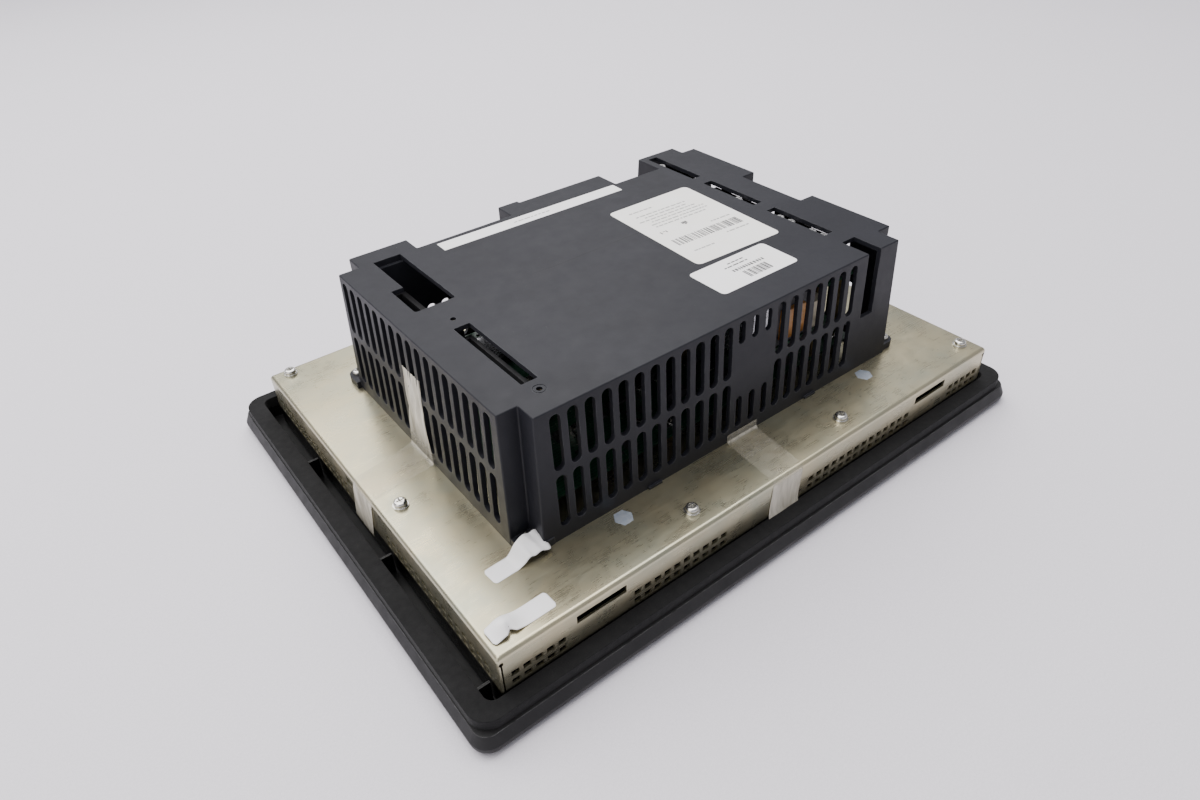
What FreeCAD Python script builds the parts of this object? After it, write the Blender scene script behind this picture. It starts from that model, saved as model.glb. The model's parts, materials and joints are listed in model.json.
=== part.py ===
# Panel-mount operator terminal with a touch screen, lying face down on its bezel.
#
# Frame: millimetres, +Z towards the rear of the unit, X along the long side, the edge that is
# uppermost in use faces -Y. The origin is the centre of the bezel's outline on its front face.
# The front pieces are drawn in that frame. Everything on and inside the steel chassis is drawn in
# chassis coordinates, whose origin is the centre of the rear plate's outer face.

import FreeCAD, Part
import math
import os

# ---- driving dimensions ----
BEZEL_LENGTH = 372.0
BEZEL_WIDTH = 281.0
BEZEL_HEIGHT = 11.0
BEZEL_CORNER = 9.0
BEZEL_FRONT_ROUND = 4.5
BEZEL_BELLY = 5.5          # height at which the bezel is widest
BEZEL_REAR_INSET = 2.4     # how far the side leans in between the belly and the rear edge
BEZEL_WALL = 3.0

GASKET_HEIGHT = 6.0
POCKET_X = 173.7           # half-length of the space inside the gasket
POCKET_NEAR = -128.9
POCKET_FAR = 130.5
TRENCH = 6.1               # gap beside the chassis, bridged by the bezel's ribs
OVERLAY_X, OVERLAY_Y, OVERLAY_DEEP = 173.0, 127.5, 0.9
GLASS_LENGTH, GLASS_WIDTH = 236.0, 184.0

CHASSIS_LENGTH = 334.0
CHASSIS_WIDTH = 248.4
CHASSIS_DEPTH = 34.0
SHEET = 1.2
BEND = 2.4
CHASSIS_SHIFT = -4.0       # the chassis sits off the bezel's centre line
PLATE_Z = 39.0             # rear plate above the front face
SLOT_LOW, SLOT_HIGH = -9.0, -4.5
CLIP_SLOTS_X = (-115.2, 114.8)
CLIP_SLOT_Y = 6.5
POST_RADIUS, SCREW_RADIUS = 4.2, 1.7
PLATE_SCREWS = [(-156.5, 117.5), (-156.5, -22.5), (157.5, 117.5), (157.5, -22.5)]
PLATE_SCREWS += [(x, -112.7) for x in (-156.5, -53.5, 51.5, 157.5)]
PLATE_SCREWS += [(x, 117.5) for x in (-53.5, 51.5)]
STUD_HEX = 8.6
STUDS = [(x, y) for x in (-80.5, 92.0) for y in (-95.8, 95.8)]

COVER_HEIGHT = 71.0
COVER_WALL = 2.5
COVER_FLARE = 2.7          # draft: how far the cover spreads towards the plate
COVER_LEFT = -127.4
COVER_RIGHT = 116.0
COVER_NEAR = -86.0
COVER_FAR = 77.5
HOOD_DEPTH = 26.0
COVER_FEET = [(-127.6, 86.2), (124.6, -83.0), (-123.6, -81.6), (124.6, 87.0)]
BODY = [(COVER_LEFT, -75.0), (-117.0, -75.0), (-117.0, COVER_NEAR), (COVER_RIGHT, COVER_NEAR),
        (COVER_RIGHT, 93.0), (86.5, 93.0), (86.5, 72.5), (50.2, 72.5), (50.2, COVER_FAR),
        (COVER_LEFT, COVER_FAR)]
CARD_SLOT = [(-114.5, 17.5), (-92.5, 17.5), (-92.5, 77.0), (-108.0, 77.0), (-108.0, 43.0),
             (-114.5, 43.0)]
MODULE_SLOT = (-108.0, -99.5, -64.0, -7.5)
MODULE_INSERTS = ((-103.6, 0.5), (-103.6, -71.0))
SERVICE_SLOT = (91.2, 101.2, -95.0, -68.5)
SERVICE_SLOT_FLOOR = 33.0
TERMINAL_SLOTS = ((46.0, 88.0), (-5.2, 36.5), (-57.0, -15.2))

VENT_WIDTH = 5.6
VENT_ROWS = ((38.8, 68.2), (7.0, 35.8))

SCREEN_LENGTH = 215.0      # clear window
SCREEN_WIDTH = 162.0

TERMINAL_PITCH = 7.7
TERMINAL_POLES = 5
TERMINAL_X = 94.4
TERMINAL_CENTRES = {"a": 63.0, "b": 18.0, "c": -38.2}
LOOSE_SCREWS = (("a", 2), ("b", -1), ("c", -2), ("c", -1), ("c", 1), ("c", 2))

MAIN_BOARD_Z = 8.0
BOARD = 1.6
IO_BOARD_Z = 46.0
PSU_BOARD_Z = 34.0
BOARD_POSTS = [(x, y) for x in (-110.5, -26.0, 96.0) for y in (-68.0, 64.0)]
IO_POSTS = [(86.5, -63.0), (86.0, -10.5), (103.0, -63.0), (103.0, 66.0)]
PSU_POSTS = [(x, y) for x in (15.0, 73.0) for y in (-71.0, -30.0)]

PORT_Z = 16.4
SERIAL_X, NETWORK_X = -2.0, 32.0

CHASSIS_ORIGIN = FreeCAD.Vector(0, CHASSIS_SHIFT, PLATE_Z)
X, Y, Z = FreeCAD.Vector(1, 0, 0), FreeCAD.Vector(0, 1, 0), FreeCAD.Vector(0, 0, 1)

os.makedirs("parts", exist_ok=True)


# ---- helpers ----
def save(name, shape):
    """Export a piece that is drawn in the part's own frame."""
    shape.exportStep("parts/" + name + ".step")


def save_rear(name, shape):
    """Export a piece that is drawn in chassis coordinates."""
    moved = shape.copy()
    moved.translate(CHASSIS_ORIGIN)
    save(name, moved)


def box(x0, x1, y0, y1, z0, z1):
    return Part.makeBox(x1 - x0, y1 - y0, z1 - z0, FreeCAD.Vector(x0, y0, z0))


def cylinder(x, y, z0, z1, radius):
    return Part.makeCylinder(radius, z1 - z0, FreeCAD.Vector(x, y, z0), Z)


def upright_edges(shape):
    return [e for e in shape.Edges if e.BoundBox.ZLength > 0.01 and e.BoundBox.XLength < 0.01
            and e.BoundBox.YLength < 0.01]


def rounded_box(x0, x1, y0, y1, z0, z1, radius):
    block = box(x0, x1, y0, y1, z0, z1)
    return block.makeFillet(radius, upright_edges(block))


def outline(points, z):
    corners = [FreeCAD.Vector(x, y, z) for x, y in points]
    return Part.makePolygon(corners + corners[:1])


def prism(points, z0, z1):
    return Part.Face(outline(points, z0)).extrude(Z * (z1 - z0))


def grown(points, distance):
    """The same counter-clockwise outline with every side moved outwards."""
    result = []
    count = len(points)
    for i, (x, y) in enumerate(points):
        before, after = points[i - 1], points[(i + 1) % count]
        ax, ay = x - before[0], y - before[1]
        bx, by = after[0] - x, after[1] - y
        a_len, b_len = math.hypot(ax, ay), math.hypot(bx, by)
        nax, nay = ay / a_len, -ax / a_len
        nbx, nby = by / b_len, -bx / b_len
        scale = distance / (1 + nax * nbx + nay * nby)
        result.append((x + (nax + nbx) * scale, y + (nay + nby) * scale))
    return result


def drafted(points, z0, z1, inset):
    """A solid that narrows towards the rear with the cover's draft."""
    def at(z):
        return outline(grown(points, COVER_FLARE * (COVER_HEIGHT - z) / COVER_HEIGHT - inset), z)
    return Part.makeLoft([at(z0), at(z1)], True, True)


def rounded_wire(half_x, y0, y1, z, radius):
    """A closed rectangle with round corners, as eight edges."""
    corners = ((half_x, y0, -90), (half_x, y1, 0), (-half_x, y1, 90), (-half_x, y0, 180))
    edges = []
    points = []
    for cx, cy, start in corners:
        mx = cx - math.copysign(radius, cx)
        my = cy + radius if cy == y0 else cy - radius
        arc = Part.Arc(*(FreeCAD.Vector(mx + radius * math.cos(math.radians(start + turn)),
                                        my + radius * math.sin(math.radians(start + turn)), z)
                         for turn in (0, 45, 90))).toShape()
        points.append((arc.Vertexes[0].Point, arc.Vertexes[-1].Point))
        edges.append(arc)
    wire = []
    for i, arc in enumerate(edges):
        wire += [arc, Part.LineSegment(points[i][1], points[(i + 1) % 4][0]).toShape()]
    return Part.Wire(wire)


def pill_x(x, width, z0, z1, y0, y1):
    """A round-ended upright slot that is cut along Y."""
    r = width / 2
    middle = box(x - r, x + r, y0, y1, z0 + r, z1 - r)
    ends = [Part.makeCylinder(r, y1 - y0, FreeCAD.Vector(x, y0, z), Y) for z in (z0 + r, z1 - r)]
    return middle.fuse(ends)


def pill_y(y, width, z0, z1, x0, x1):
    """A round-ended upright slot that is cut along X."""
    r = width / 2
    middle = box(x0, x1, y - r, y + r, z0 + r, z1 - r)
    ends = [Part.makeCylinder(r, x1 - x0, FreeCAD.Vector(x0, y, z), X) for z in (z0 + r, z1 - r)]
    return middle.fuse(ends)


def hexagon(x, y, z0, z1, across_flats):
    radius = across_flats / math.sqrt(3)
    turns = [math.radians(60 * k) for k in range(6)]
    return prism([(x + radius * math.cos(a), y + radius * math.sin(a)) for a in turns], z0, z1)


def pan_screw(x, y, seat, head_radius, head_height, shank_radius, length):
    """A pan-head screw with a cross recess, its head above the seat."""
    head = cylinder(x, y, seat, seat + head_height, head_radius)
    rim = [e for e in head.Edges if abs(e.BoundBox.ZMin - seat - head_height) < 0.01
           and e.BoundBox.ZLength < 0.01]
    head = head.makeFillet(head_height * 0.55, rim)
    arm, depth = head_radius * 0.55, head_height * 0.5
    blade = head_radius * 0.13
    top = seat + head_height + 0.1
    cross = box(x - arm, x + arm, y - blade, y + blade, top - depth, top)
    cross = cross.fuse(box(x - blade, x + blade, y - arm, y + arm, top - depth, top))
    return head.cut(cross).fuse(cylinder(x, y, seat - length, seat, shank_radius))


def group(shapes):
    return Part.makeCompound(shapes)


def spread(first, pitch, count):
    return [first + pitch * i for i in range(count)]


# ---- bezel, seals and touch screen (part's own frame) ----
def bezel():
    half_x, half_y = BEZEL_LENGTH / 2, BEZEL_WIDTH / 2
    low = rounded_box(-half_x, half_x, -half_y, half_y, 0, BEZEL_BELLY, BEZEL_CORNER)
    front = [e for e in low.Edges if e.BoundBox.ZMax < 0.01]
    low = low.makeFillet(BEZEL_FRONT_ROUND, front)
    rear_x, rear_y = half_x - BEZEL_REAR_INSET, half_y - BEZEL_REAR_INSET
    high = Part.makeLoft([rounded_wire(half_x, -half_y, half_y, BEZEL_BELLY, BEZEL_CORNER),
                          rounded_wire(rear_x, -rear_y, rear_y, BEZEL_HEIGHT,
                                       BEZEL_CORNER - BEZEL_REAR_INSET)], True, True)
    body = low.fuse(high)
    pocket = rounded_box(-POCKET_X, POCKET_X, POCKET_NEAR, POCKET_FAR, BEZEL_WALL,
                         BEZEL_HEIGHT + 1, 3.0)
    recess = rounded_box(-OVERLAY_X, OVERLAY_X, -OVERLAY_Y, OVERLAY_Y, -1, OVERLAY_DEEP, 4.0)
    sx, sy = SCREEN_LENGTH / 2, SCREEN_WIDTH / 2
    window = rounded_box(-sx, sx, CHASSIS_SHIFT - sy, CHASSIS_SHIFT + sy, -1, BEZEL_WALL + 1, 1.5)
    body = body.cut([pocket, recess, window])
    gx, gy = GLASS_LENGTH / 2 + 0.4, GLASS_WIDTH / 2 + 0.4
    seat = box(-gx - 2, gx + 2, CHASSIS_SHIFT - gy - 2, CHASSIS_SHIFT + gy + 2, BEZEL_WALL, 5.8)
    seat = seat.cut(box(-gx, gx, CHASSIS_SHIFT - gy, CHASSIS_SHIFT + gy, BEZEL_WALL, 5.8))
    ribs = [box(sign * POCKET_X - 0.5 * (1 + sign) * TRENCH, sign * POCKET_X
                + 0.5 * (1 - sign) * TRENCH, y - 0.6, y + 0.6, BEZEL_WALL, 15.6)
            for sign in (-1, 1) for y in (-119.0, -29.0, 61.0)]
    ribs += [box(x - 0.6, x + 0.6, POCKET_FAR - 9.4, POCKET_FAR, BEZEL_WALL, 15.6)
             for x in (-120.0, 0.0, 120.0)]
    return body.fuse([seat] + ribs)


def chassis_post(x, y):
    """A spacer on the bezel's floor that carries the plate and takes one of its screws."""
    top = PLATE_Z - SHEET
    post = cylinder(x, y + CHASSIS_SHIFT, BEZEL_WALL, top, POST_RADIUS)
    return post.cut(cylinder(x, y + CHASSIS_SHIFT, top - 14, top + 1, SCREW_RADIUS))


def panel_gasket():
    outer = rounded_box(-183, 183, -136.8, 136.8, BEZEL_HEIGHT, BEZEL_HEIGHT + GASKET_HEIGHT, 10)
    inner = rounded_box(-POCKET_X, POCKET_X, POCKET_NEAR, POCKET_FAR, BEZEL_HEIGHT - 1,
                        BEZEL_HEIGHT + GASKET_HEIGHT + 1, 4.5)
    return outer.cut(inner)


def front_overlay():
    sheet = rounded_box(-OVERLAY_X + 0.3, OVERLAY_X - 0.3, -OVERLAY_Y + 0.3, OVERLAY_Y - 0.3,
                        OVERLAY_DEEP - 0.5, OVERLAY_DEEP, 3.7)
    sx, sy = SCREEN_LENGTH / 2 - 1.5, SCREEN_WIDTH / 2 - 1.5
    return sheet.cut(rounded_box(-sx, sx, CHASSIS_SHIFT - sy, CHASSIS_SHIFT + sy, -1,
                                 BEZEL_WALL, 1.0))


def centred(length, width, z0, z1, radius):
    return rounded_box(-length / 2, length / 2, CHASSIS_SHIFT - width / 2,
                       CHASSIS_SHIFT + width / 2, z0, z1, radius)


save("bezel", bezel())
save("chassis_posts", group([chassis_post(x, y) for x, y in PLATE_SCREWS]))
save("panel_gasket", panel_gasket())
save("front_overlay", front_overlay())
save("touch_seal", centred(GLASS_LENGTH, GLASS_WIDTH, BEZEL_WALL, 3.6, 2)
     .cut(centred(SCREEN_LENGTH + 4, SCREEN_WIDTH + 4, BEZEL_WALL - 1, 4.6, 2)))
save("touch_screen", centred(GLASS_LENGTH, GLASS_WIDTH, 3.6, 5.8, 1.5))

lcd_shell = centred(244, 187, 6.2, 14.6, 2)
lcd_shell = lcd_shell.cut([centred(242.4, 185.4, 7.0, 15.6, 1.2), centred(213, 160, 5, 8, 1)])
save("display_frame", lcd_shell)
save("display_cell", centred(226, 174, 7.1, 9.3, 1))
save("display_backlight", centred(242, 185, 9.4, 14.5, 1))


# ---- chassis and what holds the display to it (chassis coordinates) ----
def chassis():
    """The folded tray: plate and four sides, with air holes, clip slots and corner reliefs."""
    hx, hy = CHASSIS_LENGTH / 2, CHASSIS_WIDTH / 2
    outer = box(-hx, hx, -hy, hy, -CHASSIS_DEPTH, 0)
    outer = outer.makeFillet(1.0, upright_edges(outer))
    rim = [e for e in outer.Edges if e.BoundBox.ZMin > -0.01]
    outer = outer.makeFillet(BEND, rim)
    inner = box(-hx + SHEET, hx - SHEET, -hy + SHEET, hy - SHEET, -CHASSIS_DEPTH - 1, -SHEET)
    rim = [e for e in inner.Edges if e.BoundBox.ZMin > -SHEET - 0.01]
    tray = outer.cut(inner.makeFillet(BEND - SHEET, rim))
    cuts = []
    for sx in (-1, 1):
        for sy in (-1, 1):
            edge_x, edge_y = sx * (hx - SHEET - 0.4), sy * hy
            cuts.append(box(edge_x - 0.4, edge_x + 0.4, edge_y - 3, edge_y + 3,
                            -CHASSIS_DEPTH - 1, -4.2))
            cuts.append(Part.makeCylinder(1.1, 6, FreeCAD.Vector(edge_x, edge_y - 3, -4.2), Y))
    across_y = [(-hy - 2, -hy + 3), (hy - 3, hy + 2)]
    across_x = [(-hx - 2, -hx + 3), (hx - 3, hx + 2)]
    air_x = spread(-159.7, 5.8, 5) + spread(-95.7, 5.83, 10) + spread(17.6, 6.0, 14)
    air_x += spread(136.5, 5.8, 5)
    air_y = spread(-114.0, 6.0, 16) + spread(24.0, 6.0, 16)
    for z in (-15.2, -20.4):
        for y0, y1 in across_y:
            cuts += [box(x - 1.9, x + 1.9, y0, y1, z, z + 3.0) for x in air_x]
        for x0, x1 in across_x:
            cuts += [box(x0, x1, y - 1.9, y + 1.9, z, z + 3.0) for y in air_y]
    for y0, y1 in across_y:
        cuts += [box(x - 13.25, x + 13.25, y0, y1, SLOT_LOW, SLOT_HIGH) for x in CLIP_SLOTS_X]
    for x0, x1 in across_x:
        cuts.append(box(x0, x1, CLIP_SLOT_Y - 13.25, CLIP_SLOT_Y + 13.25, SLOT_LOW, SLOT_HIGH))
    cuts += [cylinder(x, y, -3, 1, 2.1) for x, y in PLATE_SCREWS]
    cuts += [cylinder(x, y, -3, 1, 1.7) for x, y in COVER_FEET]
    cuts += [hexagon(x, y, -3, 1, STUD_HEX) for x, y in STUDS]
    cuts += [cylinder(x, y, -3, 1, 1.6) for x, y in BOARD_POSTS]
    cuts.append(rounded_box(-18, 18, -8, 8, -3, 1, 3))
    return tray.cut(cuts)


def stud(x, y):
    """A clinch stud: its hexagon is flush in the plate and its shank points at the display."""
    shoulder = cylinder(x, y, -7.0, -SHEET, 3.6)
    return hexagon(x, y, -SHEET, 0, STUD_HEX).fuse([shoulder, cylinder(x, y, -15.5, -7.0, 2.0)])


def captive_screw(x, y):
    """A pan-head screw with its washer rolled on."""
    washer = cylinder(x, y, 0, 0.8, 3.9).cut(cylinder(x, y, -1, 2, 2.0))
    return pan_screw(x, y, 0.8, 3.3, 2.5, SCREW_RADIUS, 13).fuse(washer)


def display_bracket(sign):
    """A bent strip from the clinch studs down onto the back of the display."""
    y_web, y_foot, y_flange = sign * 89.5, sign * 80.0, sign * 104.0
    def between(a, b, z0, z1):
        return box(-118, 118, min(a, b), max(a, b), z0, z1)
    flange = between(y_web, y_flange, -8.2, -7.0)
    web = between(y_web, y_web + sign * SHEET, -24.2, -7.0)
    foot = between(y_web, y_foot, -24.2, -23.0)
    holes = [cylinder(x, y, -9, -6, 2.1) for x, y in STUDS if y * sign > 0]
    return flange.fuse([web, foot]).cut(holes)


tray = chassis()
footprint = (-CHASSIS_LENGTH, CHASSIS_LENGTH, -CHASSIS_WIDTH, CHASSIS_WIDTH)
save_rear("chassis", tray.common(box(*footprint, SLOT_HIGH, 1)))
save_rear("chassis_sides", tray.common(box(*footprint, -CHASSIS_DEPTH - 1, SLOT_HIGH)))
save_rear("clinch_studs", group([stud(x, y) for x, y in STUDS]))
save_rear("stud_nuts", group([hexagon(x, y, -11.4, -8.2, 7.0).cut(cylinder(x, y, -12, -8, 2.0))
                              for x, y in STUDS]))
save_rear("display_bracket_upper", display_bracket(-1))
save_rear("display_bracket_lower", display_bracket(1))
save_rear("chassis_screws", group([captive_screw(x, y) for x, y in PLATE_SCREWS]))

save_rear("inverter_board", box(-150.5, -127.5, -74, 56, -20.0, -18.4)
          .cut([cylinder(-139, y, -21, -18, 1.7) for y in (-70, 52)]))
save_rear("inverter_posts", group([cylinder(-139, y, -18.4, -SHEET, 3.0) for y in (-70, 52)]))
save_rear("inverter_parts", group([box(-148, -133, -48, -22, -27.5, -20),
                                   box(-147, -134, 4, 22, -25.5, -20),
                                   box(-144, -134, 34, 44, -26.5, -20)]))


# ---- rear cover ----



def hoods():
    """Roofs over the connector sides, level with the back and open below and outside."""
    low = COVER_HEIGHT - HOOD_DEPTH
    roofs = [(-116.0, -82.0, 70.0, 90.4), (-21.5, 51.5, 70.0, 89.6), (-21.5, -8.0, 70.0, 92.0),
             (110.0, 126.2, 28.0, 83.0), (110.0, 126.2, -72.6, -18.2)]
    return [box(*roof, low, COVER_HEIGHT) for roof in roofs]


def hood_pockets():
    low = COVER_HEIGHT - HOOD_DEPTH - 1
    high = COVER_HEIGHT - COVER_WALL
    out = 100.0
    edge = 0.5 * COVER_WALL
    clear_y, clear_x = COVER_FAR + 1.2, COVER_RIGHT + 1.2
    return [box(-116.0 + COVER_WALL, -82.0 - COVER_WALL, clear_y, out, low, high),
            box(-21.5 + COVER_WALL, 51.5 - COVER_WALL, clear_y, out, low, high),
            box(-25.0, 60.0, 93.0 - edge, out, low, high),
            box(clear_x, 130.0, 28.0 + COVER_WALL, 83.0 - COVER_WALL, low, high),
            box(clear_x, 130.0, -72.6 + COVER_WALL, -18.2 - COVER_WALL, low, high)]


def vents():
    cuts = []
    near_y = (COVER_NEAR - 6, COVER_NEAR + 5)
    for i, x in enumerate(spread(-107.0, 8.92, 22)):
        if 12 <= i < 15:
            cuts.append(pill_x(x, 4.2, 56.0, 68.2, *near_y))
            cuts.append(pill_x(x, 4.2, 7.0, 25.5, *near_y))
        else:
            cuts += [pill_x(x, VENT_WIDTH, z0, z1, *near_y) for z0, z1 in VENT_ROWS]
    for y in spread(-67.4, 8.68, 17):
        cuts += [pill_y(y, VENT_WIDTH, z0, z1, COVER_LEFT - 6, COVER_LEFT + 5)
                 for z0, z1 in VENT_ROWS]
    low_row = VENT_ROWS[1]
    for x in spread(-107.0, 8.92, 17):
        if not -24 < x < 46:
            cuts.append(pill_x(x, VENT_WIDTH, *low_row, COVER_FAR - 5, COVER_FAR + 6))
    for y in spread(-62.0, 8.92, 15):
        cuts.append(pill_y(y, VENT_WIDTH, *low_row, COVER_RIGHT - 5, COVER_RIGHT + 6))
    return cuts


def cover_feet():
    """Four screw lugs: two beyond the +X side, one beyond +Y, one in the notch."""
    (ax, ay), (bx, by), (cx, cy), (dx, dy) = COVER_FEET
    r, t = 4.8, 4.2
    webs = [box(ax - r, ax + r, COVER_FAR, ay, 0, t),
            box(COVER_RIGHT, bx, by - r, by + r, 0, t),
            box(cx, -114.0, cy - 7.4, -72.0, 0, t).fuse(box(cx - 6.2, cx, cy, -72.0, 0, t)),
            box(COVER_RIGHT, dx, dy - r, dy + r, 0, t)]
    pads = [cylinder(x, y, 0, t, r) for x, y in COVER_FEET]
    pads[2] = cylinder(cx, cy - 1.4, 0, t, 6.0).fuse(cylinder(cx - 0.2, cy, 0, t, 6.0))
    return webs + pads


def rear_cover():
    outer = drafted(BODY, 0, COVER_HEIGHT, 0).fuse(hoods()).removeSplitter()
    crisp = [e for e in outer.Edges if e.BoundBox.ZMax > COVER_HEIGHT - 0.01]
    outer = outer.makeFillet(0.7, crisp)
    inner = drafted(BODY, -1, COVER_HEIGHT - COVER_WALL, COVER_WALL)
    shell = outer.fuse(cover_feet()).cut(inner)
    top, deep = COVER_HEIGHT + 1, COVER_HEIGHT - COVER_WALL - 1
    bosses = [cylinder(x, y, 57.5, COVER_HEIGHT - 1, 4.2) for x, y in MODULE_INSERTS]
    hooks = [box(x - 4, x + 4, COVER_NEAR - COVER_FLARE - 1.2, COVER_NEAR, 0, 1.4)
             for x in (-55.5, 54.2)]
    shell = shell.fuse(bosses + hooks)
    card = prism(CARD_SLOT, deep, top)
    card = card.makeFillet(1.5, [e for e in upright_edges(card) if e.BoundBox.YMin < 18])
    x0, x1, y0, y1 = SERVICE_SLOT
    cuts = [card, box(*MODULE_SLOT, deep, top), box(x0, x1, y0, y1, SERVICE_SLOT_FLOOR, top)]
    cuts += [box(91.0, 97.6, y0, y1, deep, top) for y0, y1 in TERMINAL_SLOTS]
    cuts += [cylinder(x, y, 57.0, COVER_HEIGHT - 1.5, 2.2) for x, y in MODULE_INSERTS]
    cuts += [cylinder(x, y, 57.0, top, 1.45) for x, y in MODULE_INSERTS]
    ring_x, ring_y = MODULE_INSERTS[1]
    cuts.append(cylinder(ring_x, ring_y, COVER_HEIGHT - 0.35, top, 3.1)
                .cut(cylinder(ring_x, ring_y, COVER_HEIGHT - 0.4, top, 2.6)))
    cuts += [cylinder(x, y, -1, 6, 1.9) for x, y in COVER_FEET]
    wire_low, wire_high = IO_BOARD_Z + 3.2, IO_BOARD_Z + 17
    for centre in TERMINAL_CENTRES.values():
        cuts.append(box(COVER_RIGHT - 5, COVER_RIGHT + 3.4, centre - 19.4, centre + 19.4,
                        wire_low, wire_high))
    cuts.append(box(SERIAL_X - 16.2, SERIAL_X + 16.2, COVER_FAR - 5, COVER_FAR + 6,
                    PORT_Z - 6.8, PORT_Z + 6.8))
    cuts.append(box(NETWORK_X - 8.6, NETWORK_X + 8.6, COVER_FAR - 5, COVER_FAR + 6,
                    PORT_Z - 6.8, PORT_Z + 7.4))
    return shell.cut(hood_pockets() + vents() + cuts)


save_rear("rear_cover", rear_cover())
save_rear("cover_screws", group([pan_screw(x, y, 4.2, 3.0, 2.2, 1.5, 9) for x, y in COVER_FEET]))
inserts = [cylinder(x, y, 58.0, COVER_HEIGHT - 1.5, 2.2).cut(cylinder(x, y, 57, 72, 1.3))
           for x, y in MODULE_INSERTS]
save_rear("module_inserts", group(inserts))


# ---- boards and connectors inside the cover ----
def terminal_block(centre):
    length = TERMINAL_PITCH * TERMINAL_POLES + 2.1
    low, high = IO_BOARD_Z + BOARD, IO_BOARD_Z + BOARD + 16.9
    body = box(TERMINAL_X - 4.6, TERMINAL_X + 9.6, centre - length / 2, centre + length / 2,
               low, high)
    cuts = []
    for k in range(-2, 3):
        y = centre + k * TERMINAL_PITCH
        cuts.append(cylinder(TERMINAL_X, y, high - 4.6, high + 1, 2.75))
        cuts.append(cylinder(TERMINAL_X, y, low + 2, high, 1.75))
        cuts.append(box(TERMINAL_X + 1, TERMINAL_X + 10, y - 1.7, y + 1.7, low + 2.4, low + 6.2))
    return body.cut(cuts)


def terminal_screw(centre, pole, raised):
    high = IO_BOARD_Z + BOARD + 16.9
    seat = high + 2.9 if raised else high - 4.4
    y = centre + pole * TERMINAL_PITCH
    head = cylinder(TERMINAL_X, y, seat, seat + 1.8, 2.35)
    rim = [e for e in head.Edges if e.BoundBox.ZMin > seat + 1.79]
    head = head.makeFillet(0.5, rim)
    slot = box(TERMINAL_X - 3, TERMINAL_X + 3, y - 0.4, y + 0.4, seat + 0.9, seat + 2)
    return head.cut(slot).fuse(cylinder(TERMINAL_X, y, seat - 9.5, seat, 1.4))


def d_sub(x, half_width):
    """A right-angle D-sub port on the main board, facing +Y."""
    low = MAIN_BOARD_Z + BOARD
    body = box(x - 15.4, x + 15.4, 63.0, 75.6, low, low + 12.5)
    flange = box(x - 15.4, x + 15.4, 75.6, 76.6, PORT_Z - 6.2, PORT_Z + 6.2)
    shell = []
    for extra in (0.0, -0.5):
        w, h = half_width + extra, 4.2 + extra
        lean = 0.7
        points = [(x - w + lean, PORT_Z - h), (x + w - lean, PORT_Z - h), (x + w, PORT_Z + h),
                  (x - w, PORT_Z + h)]
        corners = [FreeCAD.Vector(px, 76.6, pz) for px, pz in points]
        face = Part.Face(Part.makePolygon(corners + corners[:1]))
        shell.append(face.extrude(Y * 6.0))
    rim = shell[0].cut(shell[1])
    pins = []
    for row, count in ((1.4, 5), (-1.4, 4)):
        for px in spread(x - (count - 1) * 1.38, 2.76, count):
            pins.append(Part.makeCylinder(0.5, 5.0, FreeCAD.Vector(px, 76.6, PORT_Z + row), Y))
    holes = [Part.makeCylinder(1.5, 3, FreeCAD.Vector(x + side * 12.5, 74.6, PORT_Z), Y)
             for side in (-1, 1)]
    return body.fuse(flange).cut(holes).fuse([rim] + pins)


def jack_nut(x):
    """A hexagon standoff on the port's flange, tapped for the plug's screw."""
    radius = 4.75 / math.sqrt(3)
    corners = [FreeCAD.Vector(x + radius * math.cos(a), 76.6, PORT_Z + radius * math.sin(a))
               for a in (math.radians(60 * k) for k in range(6))]
    nut = Part.Face(Part.makePolygon(corners + corners[:1])).extrude(Y * 5.4)
    return nut.cut(Part.makeCylinder(1.25, 8, FreeCAD.Vector(x, 75, PORT_Z), Y))


def network_port():
    low = MAIN_BOARD_Z + BOARD
    x = NETWORK_X
    can = box(x - 8, x + 8, 62.0, 80.4, low, low + 13.2)
    mouth = box(x - 6, x + 6, 67.0, 82.0, low + 2.4, low + 9.4)
    latch = box(x - 3, x + 3, 67.0, 82.0, low + 9.4, low + 11.6)
    return can.cut([mouth, latch])


def heatsink(x0, x1, y0, y1, z0, z1, fins):
    block = box(x0, x1, y0, y1, z0, z1)
    pitch = (x1 - x0) / fins
    gaps = [box(x + 1.1, x + pitch, y0 - 1, y1 + 1, z0 + 2.5, z1 + 1)
            for x in spread(x0, pitch, fins - 1)]
    return block.cut(gaps)


def card_socket():
    block = box(-106.0, -94.6, 18.2, 74.8, MAIN_BOARD_Z + BOARD, 50.0)
    guide = box(-114.0, -106.0, 22.4, 33.6, 12.0, 46.0)
    mouth = box(-103.2, -97.6, 19.3, 73.7, 14.0, 51.0)
    track = box(-112.7, -107.3, 24.3, 31.7, 21.5, 47.0)
    return block.fuse(guide).cut([mouth, track])


def display_ribbon():
    """The flat lead from under the main board, through the plate, onto the display's back."""
    path = [(-0.3, 3.2), (-0.3, -12.0), (14.0, -23.8), (30.0, -23.8), (30.0, -24.4),
            (13.8, -24.4), (-0.9, -12.3), (-0.9, 3.2)]
    corners = [FreeCAD.Vector(-14, y, z) for y, z in path]
    return Part.Face(Part.makePolygon(corners + corners[:1])).extrude(X * 28)


def reset_switch():
    low = IO_BOARD_Z + BOARD
    can = box(92.0, 100.4, -67.4, -60.0, low, low + 8.0)
    return can.cut(Part.makeCylinder(2.2, 4.5, FreeCAD.Vector(96.2, -68, low + 4), Y))


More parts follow.
